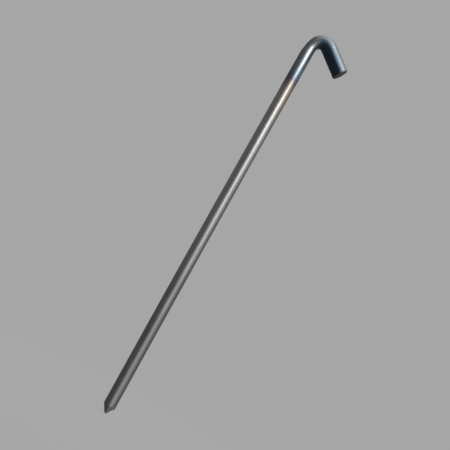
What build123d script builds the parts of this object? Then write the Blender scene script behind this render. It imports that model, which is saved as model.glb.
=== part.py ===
"""Tent stake bent from one length of round steel bar.

The stake is a single piece: a straight shank with a blunt conical point at
its foot, and at its head a tight bend into a short leg that slopes back down
and makes an open hook. The head was worked hot, so the bar thickens through
the bend and the leg is stouter than the shank.

Frame: the shank lies along Z with its point down, and the hook opens in the
XZ plane towards +X. The origin is on the shank's axis at the ground line of
a driven stake, a little below the hook's mouth.
"""

import os
from math import cos, pi, radians, sin, tan

from build123d import *

# Driving dimensions, in mm and degrees
BAR_DIAMETER = 9.525        # 3/8 in cold-drawn round bar
SHANK_LENGTH = 304.8        # 12 in from the point to where the bend starts
GROUND_TO_BEND = 21.0       # height of the bend's start above the ground line
BEND_RADIUS = 7.9           # to the middle of the bar
BEND_TURN = 128.5           # how far the leg turns back from straight up
THINNING = 1.1              # the bar is drawn this much thinner where the bend starts
THINNING_TURN = 64.0        # and is full again after this much of the bend
LEG_LENGTH = 21.3           # straight part of the leg, along its middle
LEG_WIDTH = 12.0            # leg across, in the plane of the hook
LEG_DEPTH = 10.7            # leg through, square to the plane of the hook
END_SKEW = 5.0              # the sheared end is this far off square, longer on the inside
END_CHAMFER = 0.5
POINT_HALF_ANGLE = 30.0     # the cone's slope from the axis
TIP_RADIUS = 1.39           # rounded tip, which the cone runs into
POINT_OFFSET = -0.1         # the cone stands slightly off the shank's axis
LIP_REACH = 3.0             # on the hook's side the cone stops here, at an uncut lip
LIP_ANGLE = 52.0            # slope of the lip from the axis
LIP_SPREAD = 60.0           # how far round the bar the lip runs
BEND_SECTIONS = 11          # sections that the bend is lofted through

# Worked out from them
BAR_RADIUS = BAR_DIAMETER / 2
BEND_START = GROUND_TO_BEND
TIP_HEIGHT = BEND_START - SHANK_LENGTH
CUT_MARGIN = 3.0            # cutting solids stand this far past the bar
CUT_REACH = BAR_RADIUS + CUT_MARGIN
LIP_ROOT = 0.5              # the lip's root goes this far into the bar above the cone
CONE_SLOPE = tan(radians(POINT_HALF_ANGLE))
LIP_SLOPE = tan(radians(LIP_ANGLE))


def thinning(turn):
    """How much thinner the bend has drawn the bar, most of it early on."""
    if turn >= THINNING_TURN:
        return 0.0
    return THINNING * sin(pi * (turn / THINNING_TURN) ** 0.7)


def bar_plane(turn, past_bend=0.0):
    """Plane square to the bar where it has turned by an angle round the bend.

    Local x points to the inside of the bend, and local z on along the bar.
    The thinning is all on the outside, so half of it moves the bar's middle inwards.
    """
    inside = Vector(cos(radians(turn)), 0, -sin(radians(turn)))
    along = Vector(sin(radians(turn)), 0, cos(radians(turn)))
    bend_centre = Vector(BEND_RADIUS, 0, BEND_START)
    middle = bend_centre - inside * (BEND_RADIUS - thinning(turn) / 2)
    return Plane(origin=middle + along * past_bend, x_dir=inside, z_dir=along)


def bar_radii(turn):
    """Half width and half depth of the bar, which swells smoothly round the bend."""
    share = turn / BEND_TURN
    swell = share * share * (3 - 2 * share)
    drawn_radius = BAR_RADIUS - thinning(turn) / 2
    half_width = drawn_radius + swell * (LEG_WIDTH / 2 - BAR_RADIUS)
    half_depth = drawn_radius + swell * (LEG_DEPTH / 2 - BAR_RADIUS)
    return half_width, half_depth


def cone_height(reach):
    """Height above the tip at which the cone has a radius."""
    half_angle = radians(POINT_HALF_ANGLE)
    tangent_radius = TIP_RADIUS * cos(half_angle)
    tangent_height = TIP_RADIUS * (1 - sin(half_angle))
    return tangent_height + (reach - tangent_radius) / CONE_SLOPE


with BuildPart() as stake_rod:
    # Shank
    with BuildSketch(Plane.XY.offset(TIP_HEIGHT)):
        Circle(BAR_RADIUS)
    extrude(amount=SHANK_LENGTH)

    # Bend, from the round shank to the stouter leg
    for index in range(BEND_SECTIONS):
        turn = BEND_TURN * index / (BEND_SECTIONS - 1)
        with BuildSketch(bar_plane(turn)):
            Ellipse(*bar_radii(turn))
    loft()

    # Leg, made long and then sheared off a little out of square
    with BuildSketch(bar_plane(BEND_TURN)):
        Ellipse(LEG_WIDTH / 2, LEG_DEPTH / 2)
    extrude(amount=LEG_LENGTH + CUT_MARGIN)
    end_plane = bar_plane(BEND_TURN, LEG_LENGTH).rotated((0, -END_SKEW, 0))
    with BuildSketch(end_plane):
        Rectangle(LEG_WIDTH + 2 * CUT_MARGIN, LEG_DEPTH + 2 * CUT_MARGIN)
    extrude(amount=2 * CUT_MARGIN, mode=Mode.SUBTRACT)
    leg_end = stake_rod.faces().sort_by_distance(end_plane.origin)[0]
    chamfer(leg_end.edges(), END_CHAMFER)

    # Point: a cone with a rounded tip, cut from the foot of the bar
    cone_plane = Plane(origin=(POINT_OFFSET, 0, TIP_HEIGHT), x_dir=(1, 0, 0), z_dir=(0, -1, 0))
    with BuildSketch(cone_plane):
        with BuildLine():
            tip_arc = CenterArc((0, TIP_RADIUS), TIP_RADIUS, -90, 90 - POINT_HALF_ANGLE)
            Polyline(
                tip_arc @ 1,
                (CUT_REACH, cone_height(CUT_REACH)),
                (CUT_REACH, -CUT_MARGIN),
                (0, -CUT_MARGIN),
                tip_arc @ 0,
            )
        make_face()
    revolve(axis=Axis((POINT_OFFSET, 0, 0), (0, 0, 1)), mode=Mode.SUBTRACT)

    # Lip that the cone's cutter left on the hook's side, flush with the bar
    lip_height = cone_height(LIP_REACH)
    lip_top = cone_height(BAR_RADIUS) + LIP_ROOT
    lip_middle = Plane(origin=(0, 0, TIP_HEIGHT), x_dir=(1, 0, 0), z_dir=(0, -1, 0))
    lip_start = lip_middle.rotated((0, 0, -LIP_SPREAD / 2))
    with BuildSketch(lip_start):
        with BuildLine():
            Polyline(
                (LIP_REACH, lip_height),
                (BAR_RADIUS, lip_height + (BAR_RADIUS - LIP_REACH) / LIP_SLOPE),
                (BAR_RADIUS, lip_top),
                (LIP_REACH, lip_top),
                close=True,
            )
        make_face()
    revolve(axis=Axis.Z, revolution_arc=LIP_SPREAD)

stake_rod.part.label = "stake_rod"

os.makedirs("parts", exist_ok=True)
export_step(stake_rod.part, "parts/stake_rod.step")
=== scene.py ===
"""Looks for the tent stake: one bar of bright steel, cut to a point and bent into a hook."""

from math import cos, hypot, pi, radians, sin, tan

import bmesh
import bpy
from mathutils import Matrix, Vector


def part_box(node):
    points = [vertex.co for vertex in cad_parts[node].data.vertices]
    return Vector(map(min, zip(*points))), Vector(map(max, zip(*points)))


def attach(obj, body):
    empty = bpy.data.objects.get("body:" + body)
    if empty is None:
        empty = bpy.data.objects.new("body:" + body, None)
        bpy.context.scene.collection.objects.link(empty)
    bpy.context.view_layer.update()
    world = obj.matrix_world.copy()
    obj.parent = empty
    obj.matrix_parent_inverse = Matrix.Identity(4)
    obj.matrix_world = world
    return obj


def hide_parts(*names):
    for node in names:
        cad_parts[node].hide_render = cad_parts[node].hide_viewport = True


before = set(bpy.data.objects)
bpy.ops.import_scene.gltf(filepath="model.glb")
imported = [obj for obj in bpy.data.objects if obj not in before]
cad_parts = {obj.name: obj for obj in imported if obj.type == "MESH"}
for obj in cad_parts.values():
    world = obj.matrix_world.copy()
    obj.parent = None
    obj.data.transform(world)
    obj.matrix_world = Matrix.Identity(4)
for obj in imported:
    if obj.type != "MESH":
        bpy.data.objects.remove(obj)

MM = 0.001

# The bar, as the CAD frame has it, in mm and degrees
BAR_RADIUS = 9.525 / 2
SHANK_LENGTH = 304.8
BEND_RADIUS = 7.9
BEND_TURN = 128.5
LEG_LENGTH = 21.3
LEG_HALF_WIDTH = 12.0 / 2
LEG_HALF_DEPTH = 10.7 / 2
THINNING = 0.9              # the bar is drawn this much thinner where the bend starts
THINNING_SPAN = (-5.0, 9.0)  # from here to here about where the bend starts
BEND_EASE = 1.5             # the bend starts and stops turning over this much each side
END_SKEW = 5.0
END_ROUND = 0.55            # the sheared end's rim is rolled over this much
ROLL_STEPS = 6
POINT_SLOPE = tan(radians(30.0))
POINT_START = 0.8           # the cone's radius where it would meet the tip's height
POINT_OFFSET = -0.1
TIP_ROUND = 1.39            # radius of the rounded tip
LIP_REACH = 3.0             # uncut lip on the hook's side, outside this radius
LIP_SLOPE = tan(radians(52.0))
LIP_HALF_SPREAD = 30.0      # degrees round the bar
LIP_FADE = 0.10             # radians over which the lip's sides fall away
POINT_SPAN = 12.0           # the point's shaping is over by this height
POINT_SHARPNESS = 30        # how crisp the point's edges are
SHANK_BOW = 0.5             # the shank's middle bows this far away from the hook's side

# Worked out from them
BEND_LENGTH = radians(BEND_TURN) * BEND_RADIUS
BAR_LENGTH = SHANK_LENGTH + BEND_LENGTH + LEG_LENGTH

# Mesh
AROUND = 160                # vertices round the bar
TIP_RINGS = 8               # rings on the rounded tip
POINT_STEP = 0.1            # from one ring to the next along the point, shank, bend and leg
SHANK_STEP = 1.6
BEND_STEP = 0.3
LEG_STEP = 0.6
BEND_LEAD = 6.0             # the bend's fine rings start this far below it
BEND_TAIL = 2.0             # and stop this far past it
LEG_TAIL = 2.5              # the leg's last ring before the sheared end
END_SHARES = (0.8, 0.65, 0.5, 0.35, 0.2, 0.08)  # rings of the sheared end

# Finish
STEEL_ROUGHNESS = 0.45
POINT_ROUGHNESS = 0.62      # the shank is duller towards its point
DULL_FROM = 60.0            # between these lengths from the tip, in mm
DULL_TO = 240.0
DULL_AND_PAINTED_SHADE = 0.72           # painted shade and duller steel: the colour is this much darker at the point, where the light falls off
ANISOTROPY = 0.86           # highlights are drawn out along the bar
HEAT_FROM = 235.0           # heat tints lie between these lengths from the tip, in mm
HEAT_TO = 315.0
HEAT_WAVER = 3.0
HEAT_TINTS = [
    (0.00, (1.00, 1.00, 1.00)),
    (0.22, (1.06, 1.00, 0.93)),
    (0.42, (1.08, 0.93, 0.82)),
    (0.50, (0.92, 0.74, 0.68)),
    (0.545, (0.60, 0.56, 0.72)),
    (0.60, (0.66, 0.83, 1.00)),
    (0.70, (0.88, 0.95, 1.03)),
    (1.00, (0.94, 0.98, 1.00)),
]
OUTER_SHADE_FROM = 264.0          # painted shade, tinted blue, lies on the outer side between these lengths
OUTER_SHADE_FULL = 278.0
OUTER_SHADE_FADE = 306.0
OUTER_SHADE_TO = 318.0
OUTER_SHADE_EDGE = (0.3, -3.2)    # and from here to here across the bar
OUTER_SHADE_STRENGTH = 0.60
OUTER_SHADE_COLOUR = (0.24, 0.34, 0.46, 1)
OXIDE_AND_SHADE_FROM = SHANK_LENGTH - 3.0  # the bend and the leg are dark with oxide and painted shade
OXIDE_AND_SHADE_FULL = SHANK_LENGTH + 13.0
OXIDE_AND_SHADE_EDGE = (-5.4, -1.9)   # light outside this strip across the bar and dark inside it
OXIDE_AND_SHADE_SHIFT = 3.5           # the strip starts this much further in, and has moved out
OXIDE_AND_SHADE_SHIFT_SPAN = 17.0     # after this much of the bend
OXIDE_AND_SHADE_OUTSIDE = 0.14
OXIDE_AND_SHADE_COLOUR = (0.10, 0.145, 0.195, 1)
DIRT_SPAN = (26.0, 2.0)     # the point is scuffed more and more from here to here
DIRT_EDGE = (0.40, 0.62)    # where the specks start to show and where they're full
DIRT_STRENGTH = 0.45
DIRT_COLOUR = (0.26, 0.25, 0.24, 1)
PIT_EDGE = (0.62, 0.74)     # where the pits start to show and where they're full
PIT_STRENGTH = 0.35
PIT_COLOUR = (0.35, 0.34, 0.33, 1)
PIT_ROUGHNESS = 0.12        # pits are this much rougher
PIT_DEPTH = 0.03
LINE_ROUGHNESS = 0.015      # drawing lines vary the roughness this much each way
LINE_DEPTH = 0.002
COARSE_LINE_DEPTH = 0.006
TORN_EDGE = (0.2, 2.2)      # the sheared end is torn beyond here across the bar
TORN_WAVER = 3.0
TORN_STRENGTH = 0.75
TORN_COLOUR = (0.35, 0.33, 0.32, 1)
GRAIN_DEPTH = 0.12
END_METALLIC = 0.3

# Surround
SURROUND = (0.382, 0.382, 0.384)  # grey behind the stake
FLOOR_SHADE = 0.06          # how much of the floor's look takes the light and shadow
PAPER_COLOUR = (0.75, 0.75, 0.74, 1)
FLOOR_SHADOW_CORE = 0.02    # metres from the stake's foot where it starts to fade
FLOOR_SHADOW_REACH = 0.30   # and where it's gone
FLOOR_RADIUS = 3.0
ROOM_COLOUR = (0.975, 1.0, 1.02)
ROOM_LEVEL = 0.02
GLOW_HALF_WIDTH = 55.0      # degrees
GLOWS = [                   # direction (right, up, back in the picture), strength
    ((0.85, 0.00, 0.53), 0.70),
    ((0.53, 0.85, 0.00), 0.70),
    ((0.00, -0.53, 0.85), 0.30),
    ((0.85, 0.00, -0.53), 0.10),
    ((-0.53, 0.85, 0.00), 0.08),
    ((-0.85, 0.00, 0.53), 0.07),
    ((-0.95, 0.00, -0.20), 0.10),
    ((0.00, -0.53, -0.85), 0.34),
    ((0.20, 0.50, -0.85), 0.38),
]
HOOK = Vector((0.012, 0, 0.020))
UPPER_SHANK = Vector((0, 0, -0.035))
LIGHTS = [                  # name, degrees right and up, distance, size, power, what it's aimed at
    ("hook light", 57.0, 28.0, 0.50, (0.14, 0.14), 0.52, HOOK),
    ("shank light", 35.0, 17.0, 0.32, (0.16, 0.16), 0.46, UPPER_SHANK),
    ("bend light", 22.0, 50.0, 0.40, (0.12, 0.12), 0.16, HOOK),
    ("rear light", 181.0, 0.0, 0.70, (0.16, 0.50), 0.80, UPPER_SHANK),
]

# Camera
CAMERA_TURN = 13.0          # degrees round from square to the hook's plane, towards the leg
STAKE_LEAN = 29.25          # how far the stake leans over to the right in the picture
FRAME_WIDTH = 328.1         # mm across the picture at the stake
VIEW_HEIGHT = 162.3         # mm above the tip to the middle of the picture
VIEW_ACROSS = 9.12          # mm from the shank to the middle of the picture
LENS = 100.0
SENSOR = 36.0


def smooth(share):
    share = min(1.0, max(0.0, share))
    return share * share * (3 - 2 * share)


def new_object(name, mesh):
    piece = bpy.data.objects.new(name, mesh)
    bpy.context.scene.collection.objects.link(piece)
    return piece


# ---------------------------------------------------------------- geometry

def eased(distance):
    """A distance that grows from nothing at a kink, with the kink rounded off."""
    if distance < -BEND_EASE:
        return 0.0
    if distance > BEND_EASE:
        return distance
    return (distance + BEND_EASE) ** 2 / (4 * BEND_EASE)


def turned(s):
    """Angle that the bar has turned through at length s from the tip."""
    past_start = s - SHANK_LENGTH
    return (eased(past_start) - eased(past_start - BEND_LENGTH)) / BEND_RADIUS


def thinning(s):
    """How much thinner the bend has drawn the bar."""
    low, high = THINNING_SPAN
    share = (s - SHANK_LENGTH - low) / (high - low)
    return THINNING * sin(pi * share) ** 2 if 0 < share < 1 else 0.0


def walk_bar(tip_z, rows):
    """Centre of the bar and its inside and onward directions at each length from the tip."""
    axes = []
    x, z, last = 0.0, tip_z, 0.0
    for s in rows:
        middle_turn = turned((s + last) / 2)
        x += sin(middle_turn) * (s - last)
        z += cos(middle_turn) * (s - last)
        last = s
        onward = Vector((sin(turned(s)), 0, cos(turned(s))))
        inside = Vector((cos(turned(s)), 0, -sin(turned(s))))
        share = min(1.0, s / SHANK_LENGTH)
        bow = SHANK_BOW * 4 * share * (1 - share)
        axes.append((Vector((x - bow, 0, z)) + inside * thinning(s) / 2, inside, onward))
    return axes


def bar_radii(s):
    swell = smooth((s - SHANK_LENGTH) / BEND_LENGTH)
    drawn_radius = BAR_RADIUS - thinning(s) / 2
    return (drawn_radius + swell * (LEG_HALF_WIDTH - BAR_RADIUS),
            drawn_radius + swell * (LEG_HALF_DEPTH - BAR_RADIUS))


def point_limit(s, angle):
    """Distance from the axis to the point's surface at height s above the tip."""
    offset = POINT_OFFSET * cos(angle)
    reach = POINT_START + offset + s * POINT_SLOPE
    if s < TIP_ROUND / 2:
        reach = min(reach, offset * s / TIP_ROUND + (TIP_ROUND ** 2 - (TIP_ROUND - s) ** 2) ** 0.5)
    lip_start = (LIP_REACH - POINT_START - POINT_OFFSET) / POINT_SLOPE
    if s > lip_start:
        lip = LIP_REACH + (s - lip_start) * LIP_SLOPE
        off_lip = abs((angle + pi) % (2 * pi) - pi) - radians(LIP_HALF_SPREAD)
        reach += max(0.0, lip - reach) * (1 - smooth(off_lip / LIP_FADE + 0.5))
    return reach


def outline(s, angle):
    """Distance from the bar's centre to its surface, at an angle from its inside."""
    half_width, half_depth = bar_radii(s)
    reach = half_width * half_depth / hypot(half_depth * cos(angle), half_width * sin(angle))
    if s < POINT_SPAN:
        limit = point_limit(s, angle)
        if limit < 1e-6:
            return 0.0
        reach = (reach ** -POINT_SHARPNESS + limit ** -POINT_SHARPNESS) ** (-1 / POINT_SHARPNESS)
    return reach


def stations():
    """Lengths along the bar where it has a ring of vertices."""
    rows = [TIP_ROUND / 2 * (step / TIP_RINGS) ** 2 for step in range(1, TIP_RINGS + 1)]
    while rows[-1] < POINT_SPAN:
        rows.append(rows[-1] + POINT_STEP)
    s = rows[-1]
    while s < SHANK_LENGTH - BEND_LEAD:
        s += SHANK_STEP
        rows.append(s)
    while s < SHANK_LENGTH + BEND_LENGTH + BEND_TAIL:
        s += BEND_STEP
        rows.append(s)
    while s < BAR_LENGTH - LEG_TAIL:
        s += LEG_STEP
        rows.append(s)
    return rows + [BAR_LENGTH]


def build_stake(tip_z):
    bm = bmesh.new()
    place = bm.verts.layers.float_vector.new("bar_place")
    unrolled = bm.loops.layers.uv.new("unrolled")

    def ring(s, axes, share=1.0, skew=0.0, sunk=0.0):
        """Ring of vertices round the bar, drawn in by a share and lifted onto a skewed plane."""
        centre, inside, onward = axes
        verts = []
        for i in range(AROUND):
            angle = 2 * pi * i / AROUND
            reach = outline(s, angle) * share
            across, through = reach * cos(angle), reach * sin(angle)
            level = across * skew - sunk
            spot = centre + inside * across + Vector((0, through, 0)) + onward * level
            vert = bm.verts.new(spot * MM)
            vert[place] = (across, through, s + level)
            verts.append(vert)
        return verts

    def join(low, high, low_s, high_s, slot):
        for i in range(AROUND):
            j = (i + 1) % AROUND
            face = bm.faces.new((low[i], low[j], high[j], high[i]))
            face.material_index = slot
            spots = ((low_s, i), (low_s, i + 1), (high_s, i + 1), (high_s, i))
            for loop, (length, turn) in zip(face.loops, spots):
                loop[unrolled].uv = (length / BAR_LENGTH, turn / AROUND)

    rows = stations()
    walk = walk_bar(tip_z, rows)
    rings = [ring(s, axes) for s, axes in zip(rows[:-1], walk)]
    # Sheared end: the rim rolls over, then the face runs in to its middle
    skew = tan(radians(END_SKEW))

    def end_ring(share, sunk):
        return ring(BAR_LENGTH, walk[-1], share, skew, sunk)

    lengths = rows[:-1]
    for step in range(ROLL_STEPS + 1):
        roll = pi / 2 * step / ROLL_STEPS
        drawn_in = END_ROUND * (1 - cos(roll))
        rings.append(end_ring(1 - drawn_in / LEG_HALF_WIDTH, END_ROUND * (1 - sin(roll))))
        lengths.append(BAR_LENGTH + drawn_in)
    rim = len(rings)
    for share in END_SHARES:
        rings.append(end_ring(share, 0.0))
        lengths.append(BAR_LENGTH + (1 - share) * LEG_HALF_WIDTH)
    for i in range(len(rings) - 1):
        slot = 1 if i >= rim - 1 else 0
        join(rings[i], rings[i + 1], lengths[i], lengths[i + 1], slot)
    bm.faces.new(list(reversed(rings[0])))
    bm.faces.new(rings[-1]).material_index = 1
    bmesh.ops.recalc_face_normals(bm, faces=bm.faces)
    mesh = bpy.data.meshes.new("stake_bar")
    bm.to_mesh(mesh)
    bm.free()
    mesh.shade_smooth()
    return new_object("stake_bar", mesh)


# ---------------------------------------------------------------- materials

class Nodes:
    """Short forms for building a node tree."""

    def __init__(self, tree):
        self.tree = tree

    def new(self, kind, **settings):
        node = self.tree.nodes.new("ShaderNode" + kind)
        for name, value in settings.items():
            setattr(node, name, value)
        return node

    def feed(self, socket, value):
        if isinstance(value, bpy.types.NodeSocket):
            self.tree.links.new(value, socket)
        else:
            socket.default_value = value

    def math(self, operation, first, second=0.0):
        node = self.new("Math", operation=operation)
        self.feed(node.inputs[0], first)
        self.feed(node.inputs[1], second)
        return node.outputs[0]

    def scale(self, vector, factors):
        node = self.new("VectorMath", operation="MULTIPLY")
        self.feed(node.inputs[0], vector)
        node.inputs[1].default_value = factors
        return node.outputs[0]

    def noise(self, vector, scale, detail=2.0, roughness=0.5):
        node = self.new("TexNoise")
        self.feed(node.inputs["Vector"], vector)
        node.inputs["Scale"].default_value = scale
        node.inputs["Detail"].default_value = detail
        node.inputs["Roughness"].default_value = roughness
        return node.outputs["Fac"]

    def ramp(self, value, low, high, start=0.0, end=1.0):
        """Value carried from low..high to start..end, smoothly and no further."""
        node = self.new("MapRange", interpolation_type="SMOOTHSTEP")
        self.feed(node.inputs["Value"], value)
        node.inputs["From Min"].default_value = low
        node.inputs["From Max"].default_value = high
        node.inputs["To Min"].default_value = start
        node.inputs["To Max"].default_value = end
        return node.outputs["Result"]

    def colours(self, value, stops):
        node = self.new("ValToRGB")
        self.feed(node.inputs["Fac"], value)
        elements = node.color_ramp.elements
        while len(elements) < len(stops):
            elements.new(0.5)
        for element, (place, colour) in zip(elements, stops):
            element.position = place
            element.color = (*colour, 1)
        return node.outputs["Color"]

    def mix(self, blend, factor, first, second):
        node = self.new("Mix", data_type="RGBA", blend_type=blend)
        self.feed(node.inputs[0], factor)
        self.feed(node.inputs[6], first)
        self.feed(node.inputs[7], second)
        return node.outputs[2]

    def bump(self, height, distance, strength, normal=None):
        node = self.new("Bump")
        self.feed(node.inputs["Height"], height)
        node.inputs["Distance"].default_value = distance
        node.inputs["Strength"].default_value = strength
        if normal is not None:
            self.feed(node.inputs["Normal"], normal)
        return node.outputs["Normal"]


def steel_material():
    """Drawn bar, blued and straw-tinted where the hook was heated, scuffed at the point, with painted
    shade on the outer side below the bend, inside the hook and towards the point.
    """
    material = bpy.data.materials.new("bright_steel")
    material.use_nodes = True
    shader = material.node_tree.nodes["Principled BSDF"]
    n = Nodes(material.node_tree)

    place = n.new("Attribute", attribute_name="bar_place").outputs["Vector"]
    split = n.new("SeparateXYZ")
    n.feed(split.inputs[0], place)
    across = split.outputs[0]
    s = split.outputs[2]

    # Drawing lines run along the bar; mottle is broad and stretched along it
    lines = n.noise(n.scale(place, (1, 1, 0.012)), scale=5.5, detail=3.0, roughness=0.6)
    coarse_lines = n.noise(n.scale(place, (1, 1, 0.03)), scale=1.3)
    mottle = n.noise(n.scale(place, (1, 1, 0.25)), scale=0.16, detail=3.0, roughness=0.55)
    specks = n.noise(place, scale=2.4, detail=3.0, roughness=0.6)
    pits = n.ramp(n.noise(place, scale=0.9, detail=4.0, roughness=0.65), *PIT_EDGE)

    # Heat tints, by the distance from the hook, with an uneven edge
    centred = n.math("SUBTRACT", n.noise(place, scale=0.12), 0.5)
    waver = n.math("MULTIPLY", centred, HEAT_WAVER)
    heat_place = n.math("ADD", s, waver)
    share = n.math("DIVIDE", n.math("SUBTRACT", heat_place, HEAT_FROM), HEAT_TO - HEAT_FROM)
    tint = n.colours(share, HEAT_TINTS)

    grey = n.colours(coarse_lines, [(0.3, (0.66, 0.665, 0.67)), (0.7, (0.78, 0.78, 0.775))])
    # Painted shade: the colour darkens towards the point, where the light falls off, and the steel is
    # duller there
    dullness_and_shade = n.ramp(s, DULL_FROM, DULL_TO, DULL_AND_PAINTED_SHADE, 1.0)
    grey = n.mix("MULTIPLY", 1.0, grey, dullness_and_shade)
    patches = n.colours(mottle, [(0.35, (0.86, 0.86, 0.86)), (0.65, (1, 1, 1))])
    grey = n.mix("MULTIPLY", 1.0, grey, patches)
    streaks = n.colours(lines, [(0.3, (0.84, 0.84, 0.84)), (0.7, (1, 1, 1))])
    grey = n.mix("MULTIPLY", 1.0, grey, streaks)
    grey = n.mix("MULTIPLY", 1.0, grey, tint)

    # Below the bend the outer side has painted shade, tinted a darker blue
    below_bend = n.math("MULTIPLY", n.ramp(s, OUTER_SHADE_FROM, OUTER_SHADE_FULL), n.ramp(s, OUTER_SHADE_TO, OUTER_SHADE_FADE))
    outer_shade = n.math("MULTIPLY", below_bend, n.ramp(across, *OUTER_SHADE_EDGE))
    grey = n.mix("MULTIPLY", n.math("MULTIPLY", outer_shade, OUTER_SHADE_STRENGTH), grey, OUTER_SHADE_COLOUR)

    # Oxide and painted shade darken the hook, most of all on its inside
    in_hook = n.ramp(s, OXIDE_AND_SHADE_FROM, OXIDE_AND_SHADE_FULL)
    shift = n.ramp(s, SHANK_LENGTH, SHANK_LENGTH + OXIDE_AND_SHADE_SHIFT_SPAN, OXIDE_AND_SHADE_SHIFT, 0.0)
    inside = n.ramp(n.math("SUBTRACT", across, shift), *OXIDE_AND_SHADE_EDGE, OXIDE_AND_SHADE_OUTSIDE, 1.0)
    grey = n.mix("MULTIPLY", n.math("MULTIPLY", in_hook, inside), grey, OXIDE_AND_SHADE_COLOUR)

    # The point has been in the ground
    dirt = n.math("MULTIPLY", n.ramp(s, *DIRT_SPAN), n.ramp(specks, *DIRT_EDGE))
    grey = n.mix("MIX", n.math("MULTIPLY", dirt, DIRT_STRENGTH), grey, DIRT_COLOUR)
    grey = n.mix("MULTIPLY", n.math("MULTIPLY", pits, PIT_STRENGTH), grey, PIT_COLOUR)
    n.feed(shader.inputs["Base Color"], grey)

    shader.inputs["Metallic"].default_value = 1.0
    shader.inputs["Anisotropic"].default_value = ANISOTROPY
    rough = n.ramp(s, DULL_FROM, DULL_TO, POINT_ROUGHNESS, STEEL_ROUGHNESS)
    rough = n.math("ADD", rough, n.ramp(lines, 0.25, 0.75, -LINE_ROUGHNESS, LINE_ROUGHNESS))
    rough = n.math("ADD", rough, n.math("MULTIPLY", pits, PIT_ROUGHNESS))
    n.feed(shader.inputs["Roughness"], rough)

    tangent = n.new("Tangent", direction_type="UV_MAP", uv_map="unrolled")
    n.feed(shader.inputs["Tangent"], tangent.outputs[0])
    normal = n.bump(lines, LINE_DEPTH * MM, strength=0.5)
    normal = n.bump(coarse_lines, COARSE_LINE_DEPTH * MM, strength=0.5, normal=normal)
    normal = n.bump(pits, -PIT_DEPTH * MM, strength=0.6, normal=normal)
    n.feed(shader.inputs["Normal"], normal)
    return material


def end_material():
    """The leg's sheared end: a smooth cut edge, then torn grain, all painted dark as shade."""
    material = bpy.data.materials.new("sheared_steel")
    material.use_nodes = True
    shader = material.node_tree.nodes["Principled BSDF"]
    n = Nodes(material.node_tree)
    place = n.new("Attribute", attribute_name="bar_place").outputs["Vector"]
    split = n.new("SeparateXYZ")
    n.feed(split.inputs[0], place)
    across = split.outputs[0]
    grain = n.noise(n.scale(place, (0.5, 3.0, 1.0)), scale=1.6, detail=4.0, roughness=0.65)
    waver = n.math("MULTIPLY", n.noise(place, scale=0.5), TORN_WAVER)
    torn = n.ramp(n.math("ADD", across, waver), *TORN_EDGE)
    # Painted shade: the end face's colours are kept very dark, as the face lies in shade
    grey = n.colours(grain, [(0.3, (0.02, 0.02, 0.022)), (0.7, (0.15, 0.145, 0.14))])
    grey = n.mix("MULTIPLY", n.math("MULTIPLY", torn, TORN_STRENGTH), grey, TORN_COLOUR)
    n.feed(shader.inputs["Base Color"], grey)
    shader.inputs["Metallic"].default_value = END_METALLIC
    n.feed(shader.inputs["Roughness"], n.ramp(grain, 0.2, 0.8, 0.55, 0.75))
    n.feed(shader.inputs["Normal"], n.bump(grain, GRAIN_DEPTH * MM, strength=0.8))
    return material


def floor_material():
    """Pale paper that shows the same grey as the surround and takes a faint shadow."""
    material = bpy.data.materials.new("pale_floor")
    material.use_nodes = True
    tree = material.node_tree
    tree.nodes.clear()
    n = Nodes(tree)
    output = n.new("OutputMaterial")
    glow = n.new("Emission")
    glow.inputs["Color"].default_value = (*SURROUND, 1)
    paper = n.new("BsdfDiffuse")
    paper.inputs["Color"].default_value = PAPER_COLOUR
    spot = n.new("TexCoord").outputs["Object"]
    distance = n.new("VectorMath", operation="LENGTH")
    n.feed(distance.inputs[0], spot)
    near = distance.outputs["Value"]
    nearness = n.ramp(near, FLOOR_SHADOW_CORE, FLOOR_SHADOW_REACH, FLOOR_SHADE, 0.0)
    blend = n.new("MixShader")
    n.feed(blend.inputs[0], nearness)
    n.feed(blend.inputs[1], glow.outputs[0])
    n.feed(blend.inputs[2], paper.outputs[0])
    n.feed(output.inputs["Surface"], blend.outputs[0])
    return material


# ---------------------------------------------------------------- scene

def picture_axes():
    """Right, up and back directions of the camera."""
    turn, lean = radians(CAMERA_TURN), radians(STAKE_LEAN)
    level = Vector((cos(turn), sin(turn), 0))
    back = Vector((sin(turn), -cos(turn), 0))
    upright = Vector((0, 0, 1))
    right = level * cos(lean) + upright * sin(lean)
    up = upright * cos(lean) - level * sin(lean)
    return right, up, back


def make_camera(tip_z):
    right, up, back = picture_axes()
    data = bpy.data.cameras.new("camera")
    data.lens = LENS
    data.sensor_width = SENSOR
    data.clip_end = 20
    camera = bpy.data.objects.new("camera", data)
    bpy.context.scene.collection.objects.link(camera)
    distance = FRAME_WIDTH * MM * LENS / SENSOR
    level = Vector((cos(radians(CAMERA_TURN)), sin(radians(CAMERA_TURN)), 0))
    target = Vector((0, 0, (tip_z + VIEW_HEIGHT) * MM)) + level * VIEW_ACROSS * MM
    spot = target + back * distance
    matrix = Matrix((right, up, back)).transposed().to_4x4()
    matrix.translation = spot
    camera.matrix_world = matrix
    bpy.context.scene.camera = camera


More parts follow.
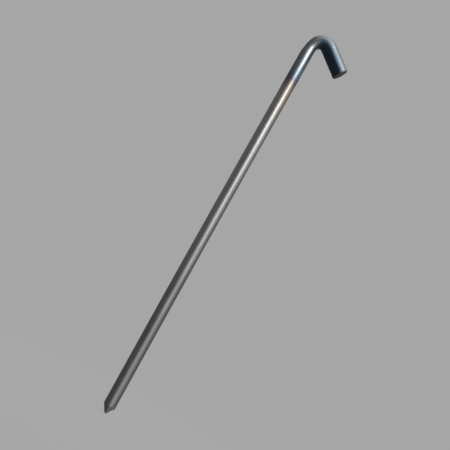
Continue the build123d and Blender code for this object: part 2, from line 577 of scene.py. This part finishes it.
def make_light(name, azimuth, height, distance, size, power, aim):
    """Soft box at degrees to the right of the camera and above it, as the picture stands."""
    right, up, back = picture_axes()
    turn, rise = radians(azimuth), radians(height)
    way = (right * sin(turn) + back * cos(turn)) * cos(rise) + up * sin(rise)
    data = bpy.data.lights.new(name, "AREA")
    data.shape = "RECTANGLE"
    data.size, data.size_y = size
    data.energy = power
    light = bpy.data.objects.new(name, data)
    bpy.context.scene.collection.objects.link(light)
    light.location = aim + way * distance
    light.rotation_euler = way.to_track_quat("Z", "Y").to_euler()
    light.visible_camera = False


def make_world():
    """Even grey where the camera looks, and a dim room with soft glows for the steel to reflect."""
    world = bpy.data.worlds.new("studio")
    bpy.context.scene.world = world
    world.use_nodes = True
    world.node_tree.nodes.clear()
    n = Nodes(world.node_tree)
    right, up, back = picture_axes()
    heading = n.new("TexCoord").outputs["Generated"]
    level = 0.0
    for (across, upward, towards), strength in GLOWS:
        way = (right * across + up * upward + back * towards).normalized()
        facing = n.new("VectorMath", operation="DOT_PRODUCT")
        n.feed(facing.inputs[0], heading)
        facing.inputs[1].default_value = way
        glow = n.ramp(facing.outputs["Value"], cos(radians(GLOW_HALF_WIDTH)), 1.0, 0.0, strength)
        level = n.math("ADD", glow, level)
    room = n.new("Background")
    room.inputs["Color"].default_value = (*ROOM_COLOUR, 1)
    n.feed(room.inputs["Strength"], n.math("ADD", level, ROOM_LEVEL))
    plain = n.new("Background")
    plain.inputs["Color"].default_value = (*SURROUND, 1)
    seen = n.new("LightPath").outputs["Is Camera Ray"]
    blend = n.new("MixShader")
    n.feed(blend.inputs[0], seen)
    n.feed(blend.inputs[1], room.outputs[0])
    n.feed(blend.inputs[2], plain.outputs[0])
    output = n.new("OutputWorld")
    n.feed(output.inputs["Surface"], blend.outputs[0])


def make_floor(tip_z):
    mesh = bpy.data.meshes.new("floor")
    bm = bmesh.new()
    bmesh.ops.create_circle(bm, cap_ends=True, segments=96, radius=FLOOR_RADIUS)
    bm.to_mesh(mesh)
    bm.free()
    floor = new_object("floor", mesh)
    floor.location = (0, 0, tip_z * MM)
    mesh.materials.append(floor_material())
    floor.visible_glossy = False


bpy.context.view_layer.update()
tip_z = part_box("stake_rod")[0][2] / MM

make_camera(tip_z)
stake = build_stake(tip_z)
stake.data.materials.append(steel_material())
stake.data.materials.append(end_material())
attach(stake, "root")
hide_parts("stake_rod")

for light in LIGHTS:
    make_light(*light)
make_world()
make_floor(tip_z)

bpy.context.scene.view_settings.view_transform = "Standard"
